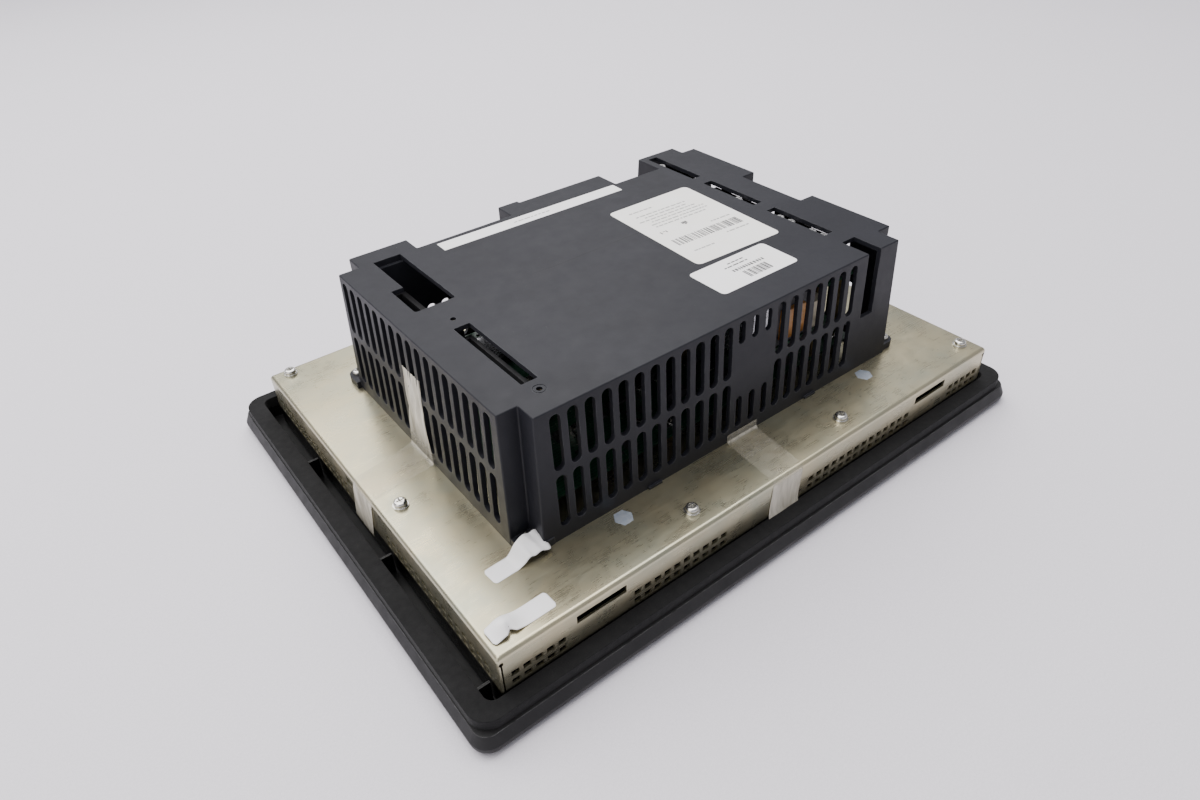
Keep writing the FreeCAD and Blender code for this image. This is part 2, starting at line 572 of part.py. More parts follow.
board_top = MAIN_BOARD_Z + BOARD
main_board = box(-115, 106, -74, 72, MAIN_BOARD_Z, board_top)
save_rear("main_board", main_board.cut([cylinder(x, y, 7, 10, 1.6) for x, y in BOARD_POSTS]))
save_rear("board_posts", group([hexagon(x, y, 0, MAIN_BOARD_Z, 6.0) for x, y in BOARD_POSTS]))
save_rear("board_screws", group([pan_screw(x, y, board_top, 2.8, 2.0, 1.5, 5).cut(
    box(x - 3, x + 3, y - 3, y + 3, 0, MAIN_BOARD_Z)) for x, y in BOARD_POSTS]))
save_rear("processor", box(-40, -8, -20, 12, board_top, board_top + 3))
save_rear("processor_heatsink", heatsink(-44, -4, -24, 16, board_top + 3, board_top + 17, 9))
chips = [box(x, x + 12, y, y + 20, board_top, board_top + 2.2)
         for x in (8, 26, 44) for y in (-16, 12)]
save_rear("memory_chips", group(chips))
save_rear("battery", cylinder(-66, 44, board_top + 1.6, board_top + 6.8, 11.5))
save_rear("battery_holder", cylinder(-66, 44, board_top, board_top + 6.0, 13.4)
          .cut(cylinder(-66, 44, board_top + 1.6, board_top + 7, 11.5)))
save_rear("display_connector", box(-15, 15, -3, 3, 3.2, MAIN_BOARD_Z))
save_rear("display_ribbon", display_ribbon())
save_rear("card_socket", card_socket())
save_rear("card_eject_button", box(-112.4, -107.6, 24.6, 31.4, 30.0, 57.0))
save_rear("module_riser", box(-104.4, -102.8, -63, -8.5, board_top, 51.0))
module_body = box(-108.4, -98.8, -65.6, -5.9, 51.0, 63.5)
save_rear("module_connector", module_body.cut(box(-106.3, -100.9, -63.0, -8.5, 54.0, 64.0)))

io_points = [(82, -67.4), (111.5, -67.4), (111.5, 88.5), (89.5, 88.5), (89.5, 68.5), (82, 68.5)]
save_rear("terminal_board", prism(io_points, IO_BOARD_Z, IO_BOARD_Z + BOARD))
save_rear("terminal_board_posts", group([hexagon(x, y, board_top, IO_BOARD_Z, 5.5)
                                         for x, y in IO_POSTS]))
for name, centre in TERMINAL_CENTRES.items():
    save_rear("terminal_block_" + name, terminal_block(centre))
fixed = [(name, pole) for name in TERMINAL_CENTRES for pole in range(-2, 3)
         if (name, pole) not in LOOSE_SCREWS]
save_rear("terminal_screws", group([terminal_screw(TERMINAL_CENTRES[name], pole, False)
                                    for name, pole in fixed]))
for number, (name, pole) in enumerate(LOOSE_SCREWS, start=1):
    save_rear("loose_screw_%d" % number, terminal_screw(TERMINAL_CENTRES[name], pole, True))
save_rear("reset_switch", reset_switch())
save_rear("reset_button", Part.makeCylinder(1.8, 5.6, FreeCAD.Vector(96.2, -70.6, 51.6), Y))

psu_top = PSU_BOARD_Z + BOARD
save_rear("power_board", box(11, 77, -80, -26, PSU_BOARD_Z, psu_top))
save_rear("power_board_posts", group([hexagon(x, y, board_top, PSU_BOARD_Z, 5.0)
                                      for x, y in PSU_POSTS]))
core = box(31, 55, -79, -59, psu_top, psu_top + 25)
core = core.cut(box(35, 51, -80, -58, psu_top + 4, psu_top + 21))
save_rear("transformer_core", core)
save_rear("transformer_coil", box(35, 51, -81.5, -56.5, psu_top + 4, psu_top + 21))
cans = [(22.0, -42.0, 7.0, 24.0), (40.0, -42.0, 7.0, 24.0), (58.0, -38.0, 5.0, 18.0)]
save_rear("power_capacitors", group([cylinder(x, y, psu_top, psu_top + h, r)
                                     for x, y, r, h in cans]))
save_rear("mains_filter", box(60.5, 69.0, -79.0, -60.0, psu_top, psu_top + 16))
save_rear("power_heatsink", heatsink(13, 28, -78, -56, psu_top, psu_top + 26, 4))

save_rear("serial_port", d_sub(SERIAL_X, 8.3))
save_rear("serial_port_jack_nuts", group([jack_nut(SERIAL_X + side * 12.5) for side in (-1, 1)]))
save_rear("network_port", network_port())
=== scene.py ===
import json
import math
import random

import bmesh
import bpy
from mathutils import Matrix, Vector


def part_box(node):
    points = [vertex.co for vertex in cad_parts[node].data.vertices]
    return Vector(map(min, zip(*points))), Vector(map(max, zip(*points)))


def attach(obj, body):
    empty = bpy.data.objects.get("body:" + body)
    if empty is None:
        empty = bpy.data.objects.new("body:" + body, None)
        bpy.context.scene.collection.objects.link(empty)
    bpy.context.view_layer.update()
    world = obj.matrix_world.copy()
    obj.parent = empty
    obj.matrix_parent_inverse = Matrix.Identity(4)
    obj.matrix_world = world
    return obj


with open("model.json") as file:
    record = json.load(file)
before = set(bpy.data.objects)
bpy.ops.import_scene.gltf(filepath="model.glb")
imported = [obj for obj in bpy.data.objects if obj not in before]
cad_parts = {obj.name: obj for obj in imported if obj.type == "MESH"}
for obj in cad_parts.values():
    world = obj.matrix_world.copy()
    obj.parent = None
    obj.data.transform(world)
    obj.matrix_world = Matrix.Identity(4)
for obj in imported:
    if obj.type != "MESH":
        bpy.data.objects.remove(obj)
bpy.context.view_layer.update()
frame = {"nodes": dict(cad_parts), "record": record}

MM = 0.001
NODES = frame["nodes"]

# ---- places taken from the frame ----
CHASSIS_LOW, CHASSIS_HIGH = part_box("chassis")
COVER_LOW, COVER_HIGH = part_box("rear_cover")
GASKET_LOW, GASKET_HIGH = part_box("panel_gasket")
CENTRE = (CHASSIS_LOW + CHASSIS_HIGH) / 2
PLATE_Z = CHASSIS_HIGH.z
COVER_TOP = (COVER_HIGH.z - PLATE_Z) / MM
PLATE_EDGE_X = (CHASSIS_HIGH.x - CHASSIS_LOW.x) / 2 / MM
PLATE_EDGE_Y = (CHASSIS_HIGH.y - CHASSIS_LOW.y) / 2 / MM

# ---- the camera: millimetres on the sensor and from the middle of the rear plate ----
SENSOR_WIDTH, FOCAL_LENGTH = 36.0, 24.6069
CAMERA_PLACE = (-244.42, -304.88, 272.70)
CAMERA_FORWARD = (0.46904, 0.63917, -0.60948)
CAMERA_DOWN = (-0.39468, -0.46566, -0.79208)


def at(x, y, z):
    """A place given in millimetres from the middle of the rear plate, in the row frame."""
    return Vector((CENTRE.x + x * MM, CENTRE.y + y * MM, PLATE_Z + z * MM))


# ---- materials ----
class Finish:
    """A Principled material with short calls for the nodes that feed it."""

    def __init__(self, name, **sockets):
        self.material = bpy.data.materials.new(name)
        self.material.use_nodes = True
        self.tree = self.material.node_tree
        self.shader = self.tree.nodes["Principled BSDF"]
        self.normal = None
        for socket, value in sockets.items():
            self.shader.inputs[socket.replace("_", " ")].default_value = value

    def node(self, kind, **settings):
        made = self.tree.nodes.new(kind)
        for key, value in settings.items():
            setattr(made, key, value)
        return made

    def link(self, source, target):
        self.tree.links.new(source, target)

    def put(self, socket, value):
        """Sets a socket to a number or colour, or links it to an output."""
        if isinstance(value, bpy.types.NodeSocket):
            self.link(value, socket)
        else:
            socket.default_value = value

    def place(self, stretch=(1, 1, 1), turn=0.0):
        """Object coordinates in metres, stretched and turned about Z."""
        source = self.node("ShaderNodeTexCoord").outputs["Object"]
        mapping = self.node("ShaderNodeMapping")
        mapping.inputs["Scale"].default_value = stretch
        mapping.inputs["Rotation"].default_value = (0, 0, turn)
        self.link(source, mapping.inputs["Vector"])
        return mapping.outputs["Vector"]

    def noise(self, scale, detail=2.0, roughness=0.5, distortion=0.0, stretch=(1, 1, 1), turn=0.0):
        made = self.node("ShaderNodeTexNoise")
        self.link(self.place(stretch, turn), made.inputs["Vector"])
        for socket, value in (("Scale", scale), ("Detail", detail), ("Roughness", roughness),
                              ("Distortion", distortion)):
            made.inputs[socket].default_value = value
        return made.outputs["Fac"]

    def cells(self, scale, feature="F1", stretch=(1, 1, 1)):
        made = self.node("ShaderNodeTexVoronoi", feature=feature)
        self.link(self.place(stretch), made.inputs["Vector"])
        made.inputs["Scale"].default_value = scale
        return made.outputs["Distance"]

    def span(self, value, low, high, to_low=0.0, to_high=1.0):
        """Maps low..high onto to_low..to_high, clamped."""
        made = self.node("ShaderNodeMapRange", clamp=True)
        self.put(made.inputs["Value"], value)
        for socket, number in (("From Min", low), ("From Max", high), ("To Min", to_low),
                               ("To Max", to_high)):
            made.inputs[socket].default_value = number
        return made.outputs["Result"]

    def math(self, operation, a, b=0.0):
        made = self.node("ShaderNodeMath", operation=operation)
        self.put(made.inputs[0], a)
        self.put(made.inputs[1], b)
        return made.outputs[0]

    def ramp(self, value, *stops):
        made = self.node("ShaderNodeValToRGB")
        self.link(value, made.inputs["Fac"])
        elements = made.color_ramp.elements
        while len(elements) < len(stops):
            elements.new(0.5)
        for element, (position, colour) in zip(elements, stops):
            element.position = position
            element.color = (*colour, 1)
        return made.outputs["Color"]

    def mix(self, factor, a, b):
        made = self.node("ShaderNodeMix", data_type="RGBA")
        self.put(made.inputs["Factor"], factor)
        for socket, value in ((made.inputs[6], a), (made.inputs[7], b)):
            self.put(socket, (*value, 1) if isinstance(value, tuple) else value)
        return made.outputs[2]

    def axis(self, name):
        """One object coordinate, in metres."""
        source = self.node("ShaderNodeTexCoord").outputs["Object"]
        split = self.node("ShaderNodeSeparateXYZ")
        self.link(source, split.inputs[0])
        return split.outputs[name]

    def edges(self, radius):
        """1 along sharp edges, fading over the radius."""
        rounded = self.node("ShaderNodeBevel", samples=4)
        rounded.inputs["Radius"].default_value = radius
        flat = self.node("ShaderNodeNewGeometry").outputs["Normal"]
        product = self.node("ShaderNodeVectorMath", operation="DOT_PRODUCT")
        self.link(rounded.outputs[0], product.inputs[0])
        self.link(flat, product.inputs[1])
        return self.span(product.outputs["Value"], 0.995, 0.8)

    def soften(self, radius):
        """Rounds the shading of sharp edges."""
        rounded = self.node("ShaderNodeBevel", samples=4)
        rounded.inputs["Radius"].default_value = radius
        self.normal = rounded.outputs[0]
        self.link(self.normal, self.shader.inputs["Normal"])

    def bump(self, height, depth, strength=1.0):
        """Adds relief: the height is 0..1 and the depth is in metres."""
        made = self.node("ShaderNodeBump")
        made.inputs["Strength"].default_value = strength
        made.inputs["Distance"].default_value = depth
        self.link(height, made.inputs["Height"])
        if self.normal is not None:
            self.link(self.normal, made.inputs["Normal"])
        self.normal = made.outputs["Normal"]
        self.link(self.normal, self.shader.inputs["Normal"])

    def colour(self, value):
        self.link(value, self.shader.inputs["Base Color"])

    def roughness(self, value):
        self.link(value, self.shader.inputs["Roughness"])


def chassis_steel():
    """Zinc-plated sheet with a straw-coloured passivation that clouds from grey to cream."""
    f = Finish("chassis_steel", Metallic=0.9, Anisotropic=0.25)
    clouds = f.noise(13, 3, 0.55, 0.6)
    drift = f.noise(34, 4, 0.6, 0.4, stretch=(1, 1.4, 1))
    straw = f.ramp(clouds, (0.28, (0.38, 0.37, 0.27)), (0.5, (0.46, 0.425, 0.295)),
                   (0.72, (0.55, 0.50, 0.345)))
    tint = f.ramp(drift, (0.35, (0.385, 0.42, 0.345)), (0.65, (0.58, 0.50, 0.32)))
    tone = f.mix(f.span(f.noise(70, 5, 0.7), 0.35, 0.7, 0.15, 0.5), straw, tint)
    # Painted shade: below the top of the gasket, inside the trench, the chassis wall's colour goes near
    # black.
    f.colour(f.mix(f.span(f.axis("Z"), GASKET_HIGH.z + 0.0012, GASKET_HIGH.z - 0.0004), tone,
                   (0.006, 0.006, 0.005)))
    grain = f.noise(2600, 2, 0.5, stretch=(0.03, 1, 1))
    smudge = f.noise(55, 4, 0.65, 0.8)
    satin = f.math("ADD", f.span(smudge, 0.3, 0.75, 0.25, 0.36), f.span(grain, 0.3, 0.7, -0.03, 0.04))
    f.roughness(satin)
    f.bump(f.noise(9, 2), 0.0006)
    f.bump(grain, 0.000006)
    f.bump(f.noise(900, 3, 0.6), 0.000004)
    return f.material


def cover_plastic():
    """Slate moulding with a fine spark-eroded grain, pale rubbed edges and a little dust."""
    f = Finish("cover_plastic", Specular_IOR_Level=0.21)
    f.soften(0.00035)
    tone = f.ramp(f.noise(22, 4, 0.6), (0.35, (0.0125, 0.0130, 0.0175)), (0.65, (0.0165, 0.0172, 0.0225)))
    pale_edges = f.math("MULTIPLY", f.edges(0.0005), f.span(f.noise(160, 3, 0.6), 0.4, 0.62))
    tone = f.mix(f.math("MULTIPLY", pale_edges, 0.34), tone, (0.26, 0.27, 0.29))
    dust = f.math("MULTIPLY", f.span(f.cells(420), 0.035, 0.02), f.span(f.noise(60, 2), 0.56, 0.6))
    tone = f.mix(f.math("MULTIPLY", dust, 0.6), tone, (0.45, 0.44, 0.42))
    f.colour(f.mix(scratch(f), tone, (0.004, 0.004, 0.005)))
    f.roughness(f.span(f.noise(90, 4, 0.6), 0.3, 0.7, 0.40, 0.52))
    f.bump(f.noise(2400, 3, 0.6), 0.00003)
    f.bump(f.cells(1500), 0.00001)
    return f.material


def scratch(f):
    """A hairline score across the back of the cover, parallel to its long side."""
    start, end = at(-50, 11.5, COVER_TOP), at(22, 11.5, COVER_TOP)
    wander = f.span(f.noise(60, 2), 0.3, 0.7, -0.0005, 0.0005)
    off_line = f.math("ABSOLUTE", f.math("SUBTRACT", f.math("ADD", f.axis("Y"), wander), start.y))
    line = f.span(off_line, 0.00028, 0.00012)
    inside = f.math("MULTIPLY", f.math("GREATER_THAN", f.axis("X"), start.x),
                    f.math("LESS_THAN", f.axis("X"), end.x))
    on_top = f.math("GREATER_THAN", f.axis("Z"), COVER_HIGH.z - 0.0005)
    return f.math("MULTIPLY", line, f.math("MULTIPLY", inside, on_top))


def bezel_plastic():
    f = Finish("bezel_plastic", Specular_IOR_Level=0.25)
    f.soften(0.0005)
    tone = f.ramp(f.noise(30, 4, 0.6), (0.35, (0.009, 0.009, 0.0095)), (0.65, (0.014, 0.014, 0.0145)))
    # Painted edge highlight: the bezel's sharp edges turn pale in patches, and the same patches also
    # stand for rubbed wear.
    pale_edges = f.math("MULTIPLY", f.edges(0.0006), f.span(f.noise(220, 3, 0.6), 0.3, 0.6))
    tone = f.mix(f.math("MULTIPLY", pale_edges, 0.5), tone, (0.28, 0.28, 0.29))
    # Painted shade: the bezel's colour goes near black inside the pocket below the rib tops.
    f.colour(f.mix(trench_shade_mask(f), tone, (0.004, 0.004, 0.004)))
    f.roughness(f.span(f.noise(110, 4, 0.6), 0.3, 0.7, 0.40, 0.55))
    f.bump(f.noise(1900, 3, 0.6), 0.00004)
    f.bump(f.cells(1300), 0.000015)
    return f.material


def trench_shade_mask(f):
    """1 inside the bezel's pocket below the tops of its ribs, where the bezel gets its painted shade."""
    inner = GASKET_HIGH.x - 0.0094
    in_x = f.math("LESS_THAN", f.math("ABSOLUTE", f.axis("X")), inner)
    in_y = f.math("LESS_THAN", f.math("ABSOLUTE", f.axis("Y")), GASKET_HIGH.y - 0.0061)
    deep = f.math("MULTIPLY", f.math("GREATER_THAN", f.axis("Z"), 0.0029),
                  f.math("LESS_THAN", f.axis("Z"), 0.0154))
    return f.math("MULTIPLY", deep, f.math("MULTIPLY", in_x, in_y))


def gasket_foam():
    """Closed-cell foam: a skin of fine pores with pale lint here and there."""
    f = Finish("gasket_foam", Specular_IOR_Level=0.15, Sheen_Weight=0.05, Sheen_Roughness=0.5)
    f.soften(0.0006)
    tone = f.ramp(f.noise(40, 4, 0.6), (0.3, (0.0085, 0.0085, 0.009)), (0.7, (0.0125, 0.0125, 0.013)))
    lint = f.math("MULTIPLY", f.span(f.cells(260), 0.05, 0.02), f.span(f.noise(45, 2), 0.6, 0.64))
    f.colour(f.mix(f.math("MULTIPLY", lint, 0.5), tone, (0.4, 0.4, 0.39)))
    f.roughness(f.span(f.noise(300, 3), 0.3, 0.7, 0.72, 0.88))
    f.bump(f.cells(1600), 0.00008)
    f.bump(f.noise(120, 3), 0.0002)
    return f.material


def plated_steel(name, tones, rough=(0.2, 0.34), radius=0.00015):
    """Bright or tinted plating on small hardware."""
    f = Finish(name, Metallic=1.0)
    f.soften(radius)
    f.colour(f.ramp(f.noise(420, 3, 0.6), (0.3, tones[0]), (0.7, tones[1])))
    f.roughness(f.span(f.noise(900, 3, 0.6), 0.3, 0.7, *rough))
    f.bump(f.noise(2500, 2), 0.000008)
    return f.material


def moulded(name, dark, light, rough=(0.38, 0.52), level=0.45, grain=0.00002):
    """Plain moulded plastic with a fine grain."""
    f = Finish(name, Specular_IOR_Level=level)
    f.soften(0.0002)
    f.colour(f.ramp(f.noise(120, 4, 0.6), (0.3, dark), (0.7, light)))
    f.roughness(f.span(f.noise(260, 3), 0.3, 0.7, *rough))
    f.bump(f.noise(2600, 2), grain)
    return f.material


def circuit_board():
    """Green solder mask over copper, with the traces and pads showing faintly."""
    f = Finish("board_green", Specular_IOR_Level=0.6)
    traces = f.node("ShaderNodeTexBrick", offset=0.5)
    f.link(f.place(), traces.inputs["Vector"])
    for socket, value in (("Scale", 260.0), ("Mortar Size", 0.12), ("Mortar Smooth", 0.2),
                          ("Brick Width", 1.7), ("Row Height", 0.5)):
        traces.inputs[socket].default_value = value
    mask = f.mix(traces.outputs["Fac"], (0.004, 0.032, 0.015), (0.009, 0.060, 0.027))
    pads = f.span(f.cells(330), 0.16, 0.12)
    f.colour(f.mix(pads, mask, (0.16, 0.16, 0.14)))
    f.roughness(f.span(f.noise(80, 3), 0.3, 0.7, 0.28, 0.42))
    f.bump(traces.outputs["Fac"], 0.00004)
    return f.material


def paper(name, shade):
    """Coated label stock, slightly yellowed in patches, with a faint ripple."""
    f = Finish(name, Specular_IOR_Level=0.4)
    warm = tuple(c * k for c, k in zip(shade, (0.97, 0.955, 0.92)))
    f.colour(f.mix(f.span(f.noise(45, 4, 0.6), 0.35, 0.7), shade, warm))
    f.roughness(f.span(f.noise(160, 3), 0.3, 0.7, 0.36, 0.5))
    f.bump(f.noise(140, 2), 0.00006)
    return f.material


def ink(name, shade):
    """Thermal print: dark where it took, thin where it did not."""
    f = Finish(name, Specular_IOR_Level=0.3, Roughness=0.55)
    pale = tuple(min(1.0, c + 0.16) for c in shade)
    f.colour(f.ramp(f.noise(700, 3, 0.7), (0.42, shade), (0.72, pale)))
    f.roughness(f.span(f.noise(500, 2), 0.3, 0.7, 0.5, 0.65))
    return f.material


def frosted_tape():
    """Matt transparent tape: a thin milky film, whiter where it lifts and creases."""
    f = Finish("frosted_tape", Specular_IOR_Level=0.5)
    streaks = f.noise(230, 3, 0.6, 0.3, stretch=(1, 1, 0.12))
    f.colour(f.ramp(streaks, (0.3, (0.62, 0.58, 0.47)), (0.7, (0.86, 0.82, 0.71))))
    f.roughness(f.span(streaks, 0.3, 0.7, 0.34, 0.5))
    height = f.axis("Z")
    above = f.span(height, PLATE_Z + 0.0006, PLATE_Z + 0.022, 0.10, 1.0)
    below = f.span(height, PLATE_Z - 0.0004, PLATE_Z - 0.003, 0.0, 0.9)
    stuck = f.math("MAXIMUM", above, below)
    off_crease = f.math("ABSOLUTE", f.math("SUBTRACT", height, PLATE_Z + 0.0012))
    crease = f.span(off_crease, 0.0009, 0.0003, 0, 0.5)
    milk = f.math("MULTIPLY", f.span(streaks, 0.3, 0.7, 0.55, 0.9), f.math("MAXIMUM", stuck, crease))
    f.link(milk, f.shader.inputs["Alpha"])
    f.bump(streaks, 0.0003, 0.6)
    return f.material


def screen_glass():
    """Anti-glare glass over the resistive touch film."""
    f = Finish("screen_glass", Specular_IOR_Level=0.5, Coat_Weight=0.3, Coat_Roughness=0.15)
    f.colour(f.ramp(f.noise(15, 3), (0.3, (0.012, 0.015, 0.018)), (0.7, (0.018, 0.022, 0.026))))
    f.roughness(f.span(f.noise(70, 4, 0.6), 0.3, 0.7, 0.16, 0.26))
    f.bump(f.noise(3000, 2), 0.000006)
    return f.material


def floor_sheet():
    """A white foam sheet with a fine, even nap."""
    f = Finish("floor_sheet", Specular_IOR_Level=0.2)
    f.colour(f.mix(f.noise(900, 3, 0.7), (0.72, 0.70, 0.755), (0.84, 0.815, 0.875)))
    f.roughness(f.span(f.noise(5, 2), 0.3, 0.7, 0.75, 0.9))
    f.bump(f.noise(700, 3, 0.7), 0.0004, 0.5)
    return f.material


SLATE, CHARCOAL, SOOT = (0.05, 0.05, 0.053), (0.028, 0.028, 0.03), (0.018, 0.018, 0.02)
FINISHES = {
    "chassis_steel": chassis_steel(),
    "cover_plastic": cover_plastic(),
    "bezel_plastic": bezel_plastic(),
    "gasket_foam": gasket_foam(),
    "seal_foam": moulded("seal_foam", SOOT, CHARCOAL, (0.75, 0.9), 0.2),
    "overlay_film": moulded("overlay_film", (0.055, 0.058, 0.064), (0.07, 0.073, 0.08), (0.42, 0.5)),
    "screen_glass": screen_glass(),
    "display_steel": plated_steel("display_steel", ((0.5, 0.51, 0.52), (0.62, 0.63, 0.64))),
    "display_glass": moulded("display_glass", (0.01, 0.014, 0.02), (0.02, 0.026, 0.034), (0.08, 0.14)),
    "light_guide": moulded("light_guide", (0.7, 0.71, 0.71), (0.8, 0.8, 0.8)),
    "stud_steel": plated_steel("stud_steel", ((0.62, 0.70, 0.82), (0.76, 0.82, 0.90)), (0.38, 0.5)),
    "bracket_steel": plated_steel("bracket_steel", ((0.5, 0.49, 0.45), (0.62, 0.6, 0.54))),
    "screw_steel": plated_steel("screw_steel", ((0.62, 0.61, 0.57), (0.80, 0.79, 0.75)), (0.14, 0.26)),
    "terminal_screw_steel": plated_steel("terminal_screw_steel", ((0.78, 0.78, 0.77), (0.9, 0.9, 0.89))),
    "brass": plated_steel("brass", ((0.20, 0.155, 0.08), (0.30, 0.24, 0.13)), (0.35, 0.5)),
    "board_green": circuit_board(),
    "chip_black": moulded("chip_black", SOOT, CHARCOAL, (0.4, 0.55)),
    "heatsink_black": moulded("heatsink_black", CHARCOAL, SLATE, (0.45, 0.6)),
    "heatsink_plain": plated_steel("heatsink_plain", ((0.62, 0.63, 0.65), (0.74, 0.75, 0.77))),
    "battery_steel": plated_steel("battery_steel", ((0.66, 0.66, 0.66), (0.78, 0.78, 0.78))),
    "connector_black": moulded("connector_black", SOOT, CHARCOAL),
    "connector_cream": moulded("connector_cream", (0.62, 0.55, 0.40), (0.74, 0.68, 0.53)),
    "ribbon_film": moulded("ribbon_film", (0.6, 0.36, 0.12), (0.74, 0.5, 0.22), (0.25, 0.35)),
    "button_grey": moulded("button_grey", (0.24, 0.25, 0.27), (0.33, 0.34, 0.36)),
    "button_dark": moulded("button_dark", CHARCOAL, SLATE),
    "terminal_black": moulded("terminal_black", SOOT, CHARCOAL, (0.3, 0.42)),
    "ferrite": moulded("ferrite", SLATE, (0.09, 0.09, 0.095), (0.5, 0.7)),
    "coil_tape": moulded("coil_tape", (0.60, 0.25, 0.06), (0.82, 0.42, 0.14), (0.22, 0.32)),
    "can_sleeve": moulded("can_sleeve", (0.02, 0.035, 0.09), (0.04, 0.06, 0.13), (0.2, 0.3)),
    "port_metal": plated_steel("port_metal", ((0.62, 0.62, 0.61), (0.76, 0.76, 0.75))),
}
LABEL_PAPER = paper("label_paper", (0.95, 0.945, 0.925))
STICKER_PAPER = paper("sticker_paper", (0.96, 0.96, 0.98))
DARK_INK = ink("dark_ink", (0.05, 0.05, 0.055))
GREY_INK = ink("grey_ink", (0.36, 0.36, 0.35))
TAPE = frosted_tape()


def paint_frame():
    """Gives every CAD node the procedural finish of its material slot."""
    for part in frame["record"]["subparts"]:
        slots = NODES[part["node"]].data.materials
        slots.clear()
        slots.append(FINISHES[part["material_slot"]])


# ---- pieces built here ----
def piece(name, mesh, material, body="unit", smooth=True):
    """Links a mesh as a piece that rides on a body."""
    made = bpy.data.objects.new(name, mesh)
    bpy.context.scene.collection.objects.link(made)
    mesh.materials.append(material)
    for face in mesh.polygons:
        face.use_smooth = smooth
    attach(made, body)
    return made


def mesh_from(name, points, faces):
    mesh = bpy.data.meshes.new(name)
    mesh.from_pydata([tuple(p) for p in points], [], faces)
    mesh.update()
    return mesh


def rounded_outline(corners, radius, steps=6):
    """The corners of a polygon, each turned into an arc, in millimetres."""
    points = []
    count = len(corners)
    for i, corner in enumerate(corners):
        here = Vector(corner)
        back = (Vector(corners[i - 1]) - here).normalized()
        ahead = (Vector(corners[(i + 1) % count]) - here).normalized()
        reach = radius / math.tan(back.angle(ahead) / 2)
        start, end = here + back * reach, here + ahead * reach
        for k in range(steps + 1):
            t = k / steps
            points.append(start.lerp(here, t).lerp(here.lerp(end, t), t))
    return points


def flat_sheet(name, corners, radius, z, thickness, material):
    """A thin sheet with round corners that lies on a face of height z."""
    rim = rounded_outline(corners, radius)
    count = len(rim)
    points = [at(p.x, p.y, z) for p in rim] + [at(p.x, p.y, z + thickness) for p in rim]
    faces = [tuple(reversed(range(count))), tuple(range(count, 2 * count))]
    faces += [(i, (i + 1) % count, (i + 1) % count + count, i + count) for i in range(count)]
    return piece(name, mesh_from(name, points, faces), material, smooth=False)


def strip(name, surface, across, along, material, thickness=0.08):
    """A sheet of across x along cells whose points come from surface(u, v), both 0..1."""
    points = [surface(i / across, j / along) for j in range(along + 1) for i in range(across + 1)]
    row = across + 1
    faces = [(j * row + i, j * row + i + 1, (j + 1) * row + i + 1, (j + 1) * row + i)
             for j in range(along) for i in range(across)]
    made = piece(name, mesh_from(name, points, faces), material)
    skin = made.modifiers.new("skin", "SOLIDIFY")
    skin.thickness = thickness * MM
    skin.offset = 1.0
    return made


class Label:
    """A label's own axes: u along its text and v up it, both in millimetres."""

    def __init__(self, origin, along, up, z):
        self.origin, self.z = Vector(origin), z
        self.along = (Vector(along) - self.origin).normalized()
        self.up = (Vector(up) - self.origin).normalized()
        self.points, self.faces = [], []

    def mark(self, u, v, width, height):
        """One printed rectangle."""
        start = len(self.points)
        for du, dv in ((0, 0), (width, 0), (width, height), (0, height)):
            p = self.origin + self.along * (u + du) + self.up * (v + dv)
            self.points.append(at(p.x, p.y, self.z))
        self.faces.append(tuple(range(start, start + 4)))

    def row(self, u, v, length, height, dice, wordy=True):
        """A line of meaningless dashes of word lengths."""
        end = u + length
        while u < end - 0.8:
            dash = min(dice.uniform(1.2, 4.2) if wordy else dice.uniform(0.8, 1.4), end - u)
            self.mark(u, v, dash, height)
            u += dash + dice.uniform(0.5, 0.9)

    def bars(self, u, v, length, height, dice):
        """An even block of upright bars that encodes nothing."""
        end = u + length
        while u < end:
            width = dice.choice((0.35, 0.35, 0.7, 1.05))
            self.mark(u, v, width, height)
            u += width + dice.choice((0.35, 0.35, 0.7, 1.1))

    def printed(self, name, material):
        made = mesh_from(name, self.points, self.faces)
        return piece(name, made, material, smooth=False)


